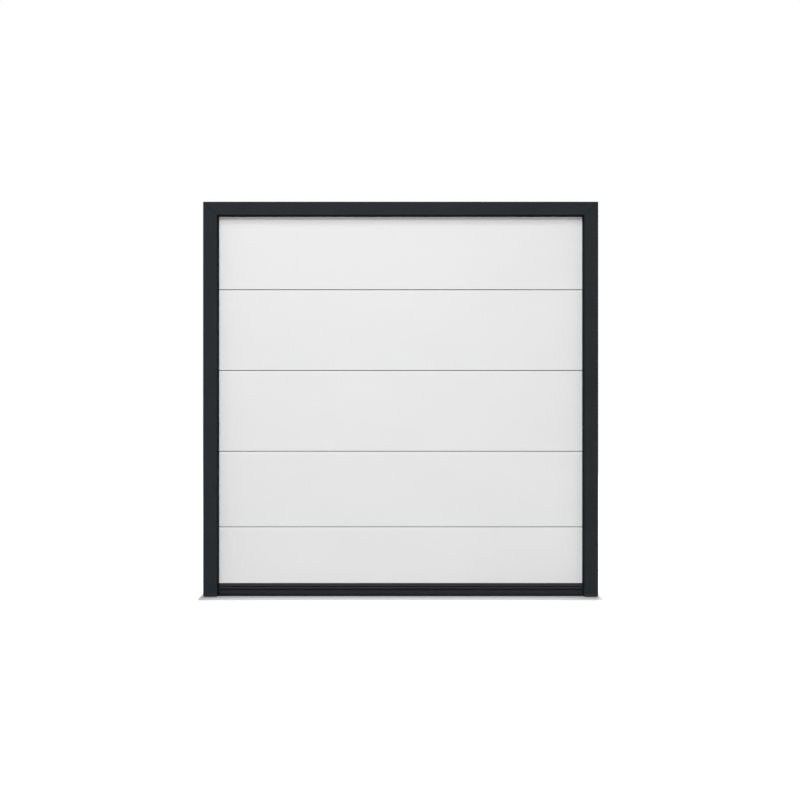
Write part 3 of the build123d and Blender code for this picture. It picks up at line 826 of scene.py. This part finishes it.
# Track fixings: screws, bolts, corner plates, straps and splices
fixing = {
    "screwPitch": 0.4,
    "screwStart": 0.12,
    "screwInset": 0.010,
    "screwClear": 0.05,  # the last screw stays at least this far below the angle's top
    "boltPitch": 0.42,
    "boltStart": 0.22,
    "boltSize": 1.25,
    "headSize": 1.3,
    "angleThickness": 0.002,
    "sheet": 0.002,
    "sheetEdge": 0.0004,
}
corner = {
    "outline": [(0.040, -0.330), (0.125, -0.330), (0.150, -0.250), (0.250, -0.155), (0.330, -0.155),
                (0.330, -0.020), (0.040, -0.020)],
    "bolts": [(0.060, -0.300), (0.104, -0.300), (0.060, -0.060), (0.300, -0.035), (0.300, -0.125),
              (0.180, -0.035)],
    "boltSize": 1.15,
}
strap = {
    "places": (0.78, 2.08),
    "half": 0.017,
    "over": 0.018,
    "boltOut": 0.006,
    "boltIn": 0.010,
    "boltSize": 0.85,
}
splice = {"half": 0.045, "over": 0.019, "bolts": (-0.032, -0.014, 0.014, 0.032), "boltSize": 0.95}
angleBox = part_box("track_angle_right")
angleFace = angleBox[0].y + fixing["angleThickness"]
webFace = trackWeb + fixing["angleThickness"]
lowerTrack = (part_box("horizontal_track_right")[0].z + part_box("horizontal_track_right")[1].z) / 2
upperTrack = (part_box("upper_track_right")[0].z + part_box("upper_track_right")[1].z) / 2
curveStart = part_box("curved_track_right")[0].z
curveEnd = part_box("curved_track_right")[1].y


def heights(start, stop, pitch):  # from a height above the floor up to a level
    height = floorLevel + start
    while height < stop:
        yield height
        height += pitch


def trackScrews(shape):
    x = angleBox[1].x - fixing["screwInset"]
    for height in heights(fixing["screwStart"], angleBox[1].z - fixing["screwClear"], fixing["screwPitch"]):
        hexScrew(shape, (x, angleFace, height), (0, 1, 0))
    for height in heights(fixing["boltStart"], curveStart, fixing["boltPitch"]):
        hexScrew(shape, (webFace, rollerLine, height), (1, 0, 0), fixing["boltSize"])


def trackBoltHeads(shape):  # the low heads inside the track
    for height in heights(fixing["boltStart"], curveStart, fixing["boltPitch"]):
        place = (trackWeb - fixing["sheet"], rollerLine, height)
        domeRivet(shape, place, (-1, 0, 0), fixing["headSize"])


def cornerPlates(shape):
    plate(shape, corner["outline"], webFace, fixing["sheet"])
    for y, z in corner["bolts"]:
        hexScrew(shape, (webFace + fixing["sheet"], y, z), (1, 0, 0), corner["boltSize"])


def onWeb(shape, y, half, bottom, top):  # a flat strip across the tracks' webs
    high = (trackWeb + fixing["sheet"], y + half, top)
    block(shape, (trackWeb, y - half, bottom), high, fixing["sheetEdge"])


def trackStraps(shape):
    face = trackWeb + fixing["sheet"]
    out, inward = strap["boltOut"], strap["boltIn"]
    for y in strap["places"]:
        onWeb(shape, y, strap["half"], lowerTrack - strap["over"], upperTrack + strap["over"])
        for z in (lowerTrack - out, lowerTrack + inward, upperTrack - inward, upperTrack + out):
            hexScrew(shape, (face, y, z), (1, 0, 0), strap["boltSize"])
    onWeb(shape, curveEnd, splice["half"], lowerTrack - splice["over"], lowerTrack + splice["over"])
    for along in splice["bolts"]:
        hexScrew(shape, (face, curveEnd + along, lowerTrack), (1, 0, 0), splice["boltSize"])


bothSides(trackScrews, "trackScrews", "bright_steel")
bothSides(trackBoltHeads, "trackBoltHeads", "bright_steel")
bothSides(cornerPlates, "cornerPlates", "zinc_steel")
bothSides(trackStraps, "trackStraps", "zinc_steel")
print("tracks dressed")


# Lifting cable with its thimble and sleeve, its pulley and its rear drum
cable = {
    "radius": 0.0015,
    "sides": 10,
    "pulley": 0.030,  # how far its middle stands from the pulley's axle
    "pulleySteps": 14,
    "drum": 0.050,    # and from the drum's
    "drumSteps": 28,
}
thimble = {
    "radius": 0.009,
    "half": 0.0022,
    "eye": (0.0062, 0.0068),
    "waist": (-0.001, 0.0078),
    "edge": 0.0008,
}
sleeve = {"rise": 0.004, "length": 0.018, "radius": 0.0031, "neck": 0.0026, "edge": 0.001, "steps": 20}
sheave = {
    "half": 0.004,
    "bore": 0.0052,
    "hub": 0.0100,
    "dishHalf": 0.0028,
    "dish": (0.0112, 0.0245),
    "flange": 0.0262,
    "flangeEdge": 0.0008,
    "flangeTop": (0.0034, 0.0026),  # how far from the middle its top starts and ends
    "flangeDrop": 0.0002,
    "groove": (0.0012, 0.0006),     # half widths of the groove above its seat and on it
    "grooveRise": 0.0006,
    "steps": 48,
}
axle = {
    "radius": 0.005,
    "head": (0.0078, 0.0086),
    "headPlaces": (-0.005, -0.0042, -0.0041),  # its front, its edge and its back
    "spacer": 0.0085,
    "spacerStart": 0.0042,
    "clear": 0.0001,
    "steps": 24,
}
drum = {
    "bore": 0.0128,
    "boss": 0.024,
    "bossEdge": 0.0015,
    "width": 0.034,
    "flange": 0.003,
    "edge": 0.0006,
    "pitch": 0.0035,
    "grooveDepth": 0.0012,
    "dish": (0.046, 0.043, 0.026),
    "dishDepth": 0.004,
    "steps": 72,
    "screwTurns": (0.6, 2.7),
    "screwAlong": 0.009,
    "screwReach": 0.0236,
    "screwSize": 0.95,
}
drumBox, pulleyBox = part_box("cable_drum_right"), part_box("cable_pulley_right")
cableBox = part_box("lift_cable_right")
cableX = (cableBox[0].x + cableBox[1].x) / 2
springY, springZ = (drumBox[0].y + drumBox[1].y) / 2, (drumBox[0].z + drumBox[1].z) / 2
pulleyY, pulleyZ = (pulleyBox[0].y + pulleyBox[1].y) / 2, (pulleyBox[0].z + pulleyBox[1].z) / 2
pulleyMiddle = (cableX, pulleyY, pulleyZ)
cableY = pulleyY - cable["pulley"]
anchorZ = cableBox[0].z + thimble["radius"] + cable["radius"]


def liftCable(shape):  # a ring carried up, round the pulley, back and round the drum
    def edgesOf(items):
        return [item for item in items if isinstance(item, bmesh.types.BMEdge)]

    def straight(ring, vec):
        made = bmesh.ops.extrude_edge_only(shape, edges=edgesOf(ring))["geom"]
        corners = [item for item in made if isinstance(item, bmesh.types.BMVert)]
        bmesh.ops.translate(shape, verts=corners, vec=vec)
        return corners + [edge for edge in edgesOf(made) if set(edge.verts) <= set(corners)]

    def bend(ring, centre, angle, steps):
        made = bmesh.ops.spin(shape, geom=ring, cent=centre, axis=(1, 0, 0), angle=angle, steps=steps)
        return [item for item in made["geom_last"] if not isinstance(item, bmesh.types.BMFace)]

    start = Vector((cableX, cableY, anchorZ + thimble["radius"]))
    stand, sides = Matrix.Translation(start), cable["sides"]
    corners = bmesh.ops.create_circle(
        shape, cap_ends=False, segments=sides, radius=cable["radius"], matrix=stand
    )["verts"]
    ring = corners + list({edge for vert in corners for edge in vert.link_edges})
    ring = straight(ring, (0, 0, pulleyZ - start.z))
    ring = bend(ring, pulleyMiddle, -pi / 2, cable["pulleySteps"])
    ring = straight(ring, (0, springY - pulleyY, 0))
    bend(ring, (cableX, springY, springZ), -pi, cable["drumSteps"])
    bmesh.ops.holes_fill(shape, edges=[edge for edge in shape.edges if edge.is_boundary], sides=sides)


def cableEnd(shape):
    half, reach = thimble["half"], thimble["radius"] + cable["radius"]
    side = [(-half, radius) for radius in thimble["eye"]]
    side += [thimble["waist"], (-half, reach - thimble["edge"])]
    turned(shape, bothWays(side, [(0, reach)]), (cableX, cableY, anchorZ), (1, 0, 0))
    tube = rod(sleeve["length"], sleeve["radius"], sleeve["edge"], sleeve["neck"])
    start = (cableX, cableY, anchorZ + thimble["radius"] + sleeve["rise"])
    turned(shape, tube, start, (0, 0, 1), sleeve["steps"])


def pulley(shape):
    half, rim = sheave["half"], pulleyBox[1].y - pulleyY
    seat = cable["pulley"] - cable["radius"]
    outer, inner = sheave["flangeTop"]
    wide, narrow = sheave["groove"]
    side = [(-half, sheave["bore"]), (-half, sheave["hub"])]
    side += [(-sheave["dishHalf"], radius) for radius in sheave["dish"]]
    side += [(-half, sheave["flange"]), (-half, rim - sheave["flangeEdge"]), (-outer, rim)]
    side += [(-inner, rim - sheave["flangeDrop"]), (-wide, seat + sheave["grooveRise"]), (-narrow, seat)]
    turned(shape, bothWays(side), pulleyMiddle, (1, 0, 0), sheave["steps"])


def pulleyAxle(shape):
    length = trackWeb - fixing["sheet"] - cableX
    radius, (low, high), (start, edge, back) = axle["radius"], axle["head"], axle["headPlaces"]
    profile = [(start, 0), (start, low), (edge, high), (back, radius), (length, radius), (length, 0)]
    turned(shape, profile, pulleyMiddle, (1, 0, 0), axle["steps"])
    bore, outside, begin = radius + axle["clear"], axle["spacer"], axle["spacerStart"]
    spacer = [(begin, bore), (begin, outside), (length, outside), (length, bore)]
    turned(shape, spacer, pulleyMiddle, (1, 0, 0), axle["steps"])


def cableDrum(shape):
    start, outer, rim = drumBox[0].x, drumBox[1].x, drumBox[1].z - springZ
    inner, seat = outer - drum["width"], cable["drum"] - cable["radius"]
    boss, ease, edge, flange = drum["boss"], drum["bossEdge"], drum["edge"], drum["flange"]
    profile = [(start, drum["bore"]), (start, boss - ease), (start + ease, boss), (inner, boss)]
    profile += [(inner, rim - edge), (inner + edge, rim)]
    profile += [(inner + flange - edge, rim), (inner + flange, rim - edge)]
    along = inner + flange
    while along + drum["pitch"] < outer - flange:  # the grooves between the flanges
        for share, depth in ((0, 0), (0.25, 0.75), (0.5, 1), (0.75, 0.75)):
            profile.append((along + drum["pitch"] * share, seat - drum["grooveDepth"] * depth))
        along += drum["pitch"]
    profile += [(outer - flange, seat), (outer - flange, rim - edge), (outer - flange + edge, rim)]
    profile += [(outer - edge, rim), (outer, rim - edge)]
    dishRim, dishOut, dishIn = drum["dish"]
    sunk = outer - drum["dishDepth"]
    profile += [(outer, dishRim), (sunk, dishOut), (sunk, dishIn), (outer, boss), (outer, drum["bore"])]
    turned(shape, profile, (0, springY, springZ), (1, 0, 0), drum["steps"])


def outward(turn):  # away from the spring shaft
    return Matrix.Rotation(turn, 3, "X") @ Vector((0, 0, 1))


def shaftScrew(shape, x, turn, reach, size):
    hexScrew(shape, Vector((x, springY, springZ)) + outward(turn) * reach, outward(turn), size)


def drumScrews(shape):
    for turn in drum["screwTurns"]:
        shaftScrew(shape, drumBox[0].x + drum["screwAlong"], turn, drum["screwReach"], drum["screwSize"])


bothSides(liftCable, "liftCable", "bright_steel", covers="lift_cable", material=cableFinish)
bothSides(cableEnd, "cableEnd", "bright_steel")
bothSides(pulley, "cablePulley", "nylon", covers="cable_pulley")
bothSides(pulleyAxle, "pulleyAxle", "bright_steel")
bothSides(cableDrum, "cableDrum", "cast_alloy", covers="cable_drum")
bothSides(drumScrews, "drumScrews", "bright_steel")
print("cables, pulleys and drums made")


# Torsion springs wound from wire, and the screws in their cones
coil = {"wire": 0.003, "sides": 10, "stepsPerTurn": 24}
cone = {
    "screwInset": 0.006,
    "anchorTurns": (0.4, 2.5),
    "windingTurns": (0.2, 1.77, 3.34, 4.91),
    "screwReach": 0.0357,
    "screwSize": 0.8,
}
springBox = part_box("spring_right")
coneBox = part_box("spring_cones_right")


def springCoil(shape):  # one turn is spun, repeated along the spring and joined
    radius = springBox[1].z - springZ - coil["wire"]
    length = springBox[1].x - springBox[0].x - 2 * coil["wire"]
    turns = int(length / (2 * coil["wire"]))
    climb = length / turns
    turn = bmesh.new()
    stand = facing((springBox[0].x + coil["wire"], springY, springZ + radius), (0, 1, 0))
    steps, sides = coil["stepsPerTurn"], coil["sides"]
    bmesh.ops.create_circle(turn, cap_ends=False, segments=sides, radius=coil["wire"], matrix=stand)
    bmesh.ops.spin(
        turn, geom=turn.verts[:] + turn.edges[:], cent=(0, springY, springZ), axis=(1, 0, 0),
        dvec=(climb / steps, 0, 0), angle=2 * pi, steps=steps,
    )
    mesh = bpy.data.meshes.new("turn")
    turn.to_mesh(mesh)
    turn.free()
    for count in range(turns):
        shape.from_mesh(mesh)
        mesh.transform(Matrix.Translation((climb, 0, 0)))
    bpy.data.meshes.remove(mesh)
    bmesh.ops.remove_doubles(shape, verts=shape.verts, dist=near)
    bmesh.ops.holes_fill(shape, edges=[edge for edge in shape.edges if edge.is_boundary], sides=sides)


def coneScrews(shape):
    anchor, winding = coneBox[0].x + cone["screwInset"], coneBox[1].x - cone["screwInset"]
    for x, turns in ((anchor, cone["anchorTurns"]), (winding, cone["windingTurns"])):
        for turn in turns:
            shaftScrew(shape, x, turn, cone["screwReach"], cone["screwSize"])


bothSides(springCoil, "springCoil", "spring_steel", covers="spring")
bothSides(coneScrews, "coneScrews", "bright_steel")
print("springs wound")


# Bolts of the rear supports and hangers
support = {
    "sheet": 0.004,  # of the bearing plate on the track's web
    "plateBolts": [(2.700, -0.120), (2.745, -0.120), (2.700, -0.035), (2.745, -0.035)],
    "plateBoltSize": 1.1,
    "plateClear": 0.01,
    "bearingTurns": (0.8, 2.37, 3.94, 5.51),
    "bearingReach": 0.0205,
    "bearingBoltSize": 0.6,
    "washer": [(0, 0.0129), (0, 0.0175), (0.0012, 0.0175), (0.0016, 0.0165), (0.0016, 0.0129)],
}
hanger = {
    "half": 0.015,
    "footReach": 0.030,
    "sheet": 0.003,
    "boltUp": 0.010,
    "boltSize": 1.05,
    "ceilingOut": 0.020,
    "ceilingAlong": 0.028,
    "ceilingBoltSize": 1.6,
}
middleBearing = {"boltAcross": 0.0165, "boltInset": 0.014, "boltProud": 0.001, "boltSize": 0.9}
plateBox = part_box("bearing_plate_right")
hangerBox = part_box("ceiling_hangers_right")
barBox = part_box("rear_cross_bar")


def supportBolts(shape):
    for y, z in support["plateBolts"]:
        if z > plateBox[0].z + support["plateClear"]:
            hexScrew(shape, (trackWeb + support["sheet"], y, z), (1, 0, 0), support["plateBoltSize"])
    middle = Vector((plateBox[1].x, springY, springZ))
    for turn in support["bearingTurns"]:
        place = middle + outward(turn) * support["bearingReach"]
        hexScrew(shape, place, (1, 0, 0), support["bearingBoltSize"])
    turned(shape, support["washer"], middle, (1, 0, 0))


def hangerBolts(shape):
    inset, up, along = hanger["footReach"] + hanger["half"], hanger["boltUp"], hanger["ceilingAlong"]
    places = ((hangerBox[0].y + inset, trackWeb), (hangerBox[1].y - inset, trackWeb + support["sheet"]))
    for y, side in places:
        for z in (lowerTrack - up, lowerTrack + up, upperTrack - up, upperTrack + up):
            hexScrew(shape, (side + hanger["sheet"], y, z), (1, 0, 0), hanger["boltSize"])
        for shift in (-along, along):
            place = (side + hanger["ceilingOut"], y + shift, hangerBox[1].z - hanger["sheet"])
            hexScrew(shape, place, (0, 0, -1), hanger["ceilingBoltSize"])


def bearingBolts(shape):  # on the cross bar, in the door's middle
    across, inset = middleBearing["boltAcross"], middleBearing["boltInset"]
    for x in (-across, across):
        for z in (barBox[1].z - inset, barBox[0].z + inset):
            place = (x, barBox[1].y + middleBearing["boltProud"], z)
            hexScrew(shape, place, (0, 1, 0), middleBearing["boltSize"])


bothSides(supportBolts, "supportBolts", "bright_steel")
bothSides(hangerBolts, "hangerBolts", "bright_steel")
single(bearingBolts, "bearingBolts", "bright_steel")
print("supports bolted")


# Floor, light and camera
room = {
    "floorSize": 60.0,
    "floorColor": (0.6, 0.6, 0.6, 1.0),
    "floorPale": (0.84, 0.84, 0.84, 1.0),
    "paleReach": (3.0, 6.0),   # how far out the floor stays pale
    "floorLift": 0.01,         # what the floor adds in the shadow before the door
    "floorRise": 0.92,         # and from there out to white
    "contactStep": (0.030, 0.050, 0.20),
    "contactEnd": (0.094, 0.108),
    "contactBeside": 5.0,      # the shadow is so much narrower beside the door
    "underStart": -0.008,      # where the painted shadow under the bottom seal begins
    "underDepth": 0.02,        # it ends this far behind the leaf's front
    # colours of the painted shadow, before the frame's front and under the seal
    "underFront": (0.008, 0.009, 0.010, 1.0),
    "underSeal": (0.060, 0.063, 0.068, 1.0),
    "worldStrength": 0.125,
}


def paleFloor():
    f = Finish("paleFloor")
    sideways, forwards = f.math("ABSOLUTE", f.axis("X")), f.axis("Y")
    beside = f.math("MAXIMUM", sideways - legBox[1].x, 0.0) * room["contactBeside"]
    before = f.math("MAXIMUM", f.math("ABSOLUTE", forwards) - legBox[1].y, 0.0)
    distance = f.math("SQRT", beside * beside + before * before)
    start, stop, share = room["contactStep"]
    # painted shadow's edge: the floor's glow rises in two steps away from the door
    away = f.spread(distance, start, stop, 0.0, share)
    away = away + f.spread(distance, *room["contactEnd"], 0.0, 1 - share)
    # painted shadow: a dark strip on the floor under the bottom seal
    under = f.math("LESS_THAN", sideways, legBox[0].x + foot["innerRadius"])
    under = under * f.math("GREATER_THAN", forwards, room["underStart"])
    under = under * f.math("LESS_THAN", forwards, leafFront + room["underDepth"])
    strip = f.blend(f.math("GREATER_THAN", forwards, 0.0), room["underFront"], room["underSeal"])
    openFloor = f.blend(f.spread(before, *room["paleReach"]), room["floorPale"], room["floorColor"])
    # painted light: the floor glows where it is seen, except in that band round the door
    glow = f.shown() * (away * room["floorRise"] + room["floorLift"] * (1 - under))
    return f.close({
        "Base Color": f.blend(under, openFloor, strip),
        "Roughness": 0.9,
        "Specular IOR Level": 0.0,
        "Emission Color": f.blend(glow, black, white),
        "Emission Strength": 1.0,
    })


def paleRoom():  # dim where it lights the door, white where it is seen
    f = Finish("paleRoom", isWorld=True)
    lit = f.node("ShaderNodeBackground", inputs={"Color": white, "Strength": room["worldStrength"]})
    bright = f.node("ShaderNodeBackground", inputs={"Color": white, "Strength": 1.0})
    sky = f.node("ShaderNodeMixShader", inputs={0: f.shown(), 1: lit, 2: bright})
    f.node("ShaderNodeOutputWorld", inputs={"Surface": sky})
    return f.block


ground = bmesh.new()
bmesh.ops.create_grid(ground, x_segments=1, y_segments=1, size=room["floorSize"] / 2)
bmesh.ops.translate(ground, verts=ground.verts, vec=(0, 0, floorLevel))
floorMesh = bpy.data.meshes.new("floor")
ground.to_mesh(floorMesh)
ground.free()
floor = bpy.data.objects.new("floor", floorMesh)
bpy.context.scene.collection.objects.link(floor)
floorMesh.materials.append(paleFloor())
bpy.context.scene.world = paleRoom()

leafMiddle = (0.0, 0.0, floorLevel / 2)
lamps = {
    "keyLight": {"place": (-1.6, -18.0, 6.0), "aim": leafMiddle, "size": 2.4, "power": 1140.0},
    "softLight": {"place": (-1.4, -10.0, 7.5), "aim": leafMiddle, "size": 4.5, "power": 392.0},
    "fillLight": {"place": (-1.6, -16.0, -0.4), "aim": leafMiddle, "size": 2.0, "power": 305.0},
    "backLight": {"place": (2.6, 7.5, 2.6), "aim": (0.0, 1.4, -0.6), "size": 3.0, "power": 560.0},
}


def areaLight(name, place, aim, size, power):
    lamp = bpy.data.lights.new(name, "AREA")
    lamp.shape = "DISK"
    lamp.size = size
    lamp.energy = power
    holder = bpy.data.objects.new(name, lamp)
    bpy.context.scene.collection.objects.link(holder)
    holder.location = place
    holder.rotation_mode = "QUATERNION"
    holder.rotation_quaternion = (Vector(aim) - Vector(place)).to_track_quat("-Z", "Y")


for name, lamp in lamps.items():
    areaLight(name, **lamp)

shot = {
    "pictureSize": 800,        # px
    "sensor": 36.0,            # mm
    "distance": 5.5,           # from the frame's front face
    "pixel": 0.0061223,        # real size of a pixel on that face
    "sideways": -0.004,
    "height": 1.2057,          # of the picture's middle above the floor
    "farthest": 200.0,
}
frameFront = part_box("frame_head")[0].y
lens = bpy.data.cameras.new("camera")
lens.sensor_width = shot["sensor"]
lens.lens = shot["sensor"] * shot["distance"] / (shot["pictureSize"] * shot["pixel"])
lens.clip_end = shot["farthest"]
camera = bpy.data.objects.new("camera", lens)
bpy.context.scene.collection.objects.link(camera)
camera.location = (shot["sideways"], frameFront - shot["distance"], floorLevel + shot["height"])
camera.rotation_euler = (radians(90), 0, 0)
bpy.context.scene.camera = camera
bpy.context.scene.view_settings.view_transform = "Standard"
print("camera and light set")

bpy.context.view_layer.update()
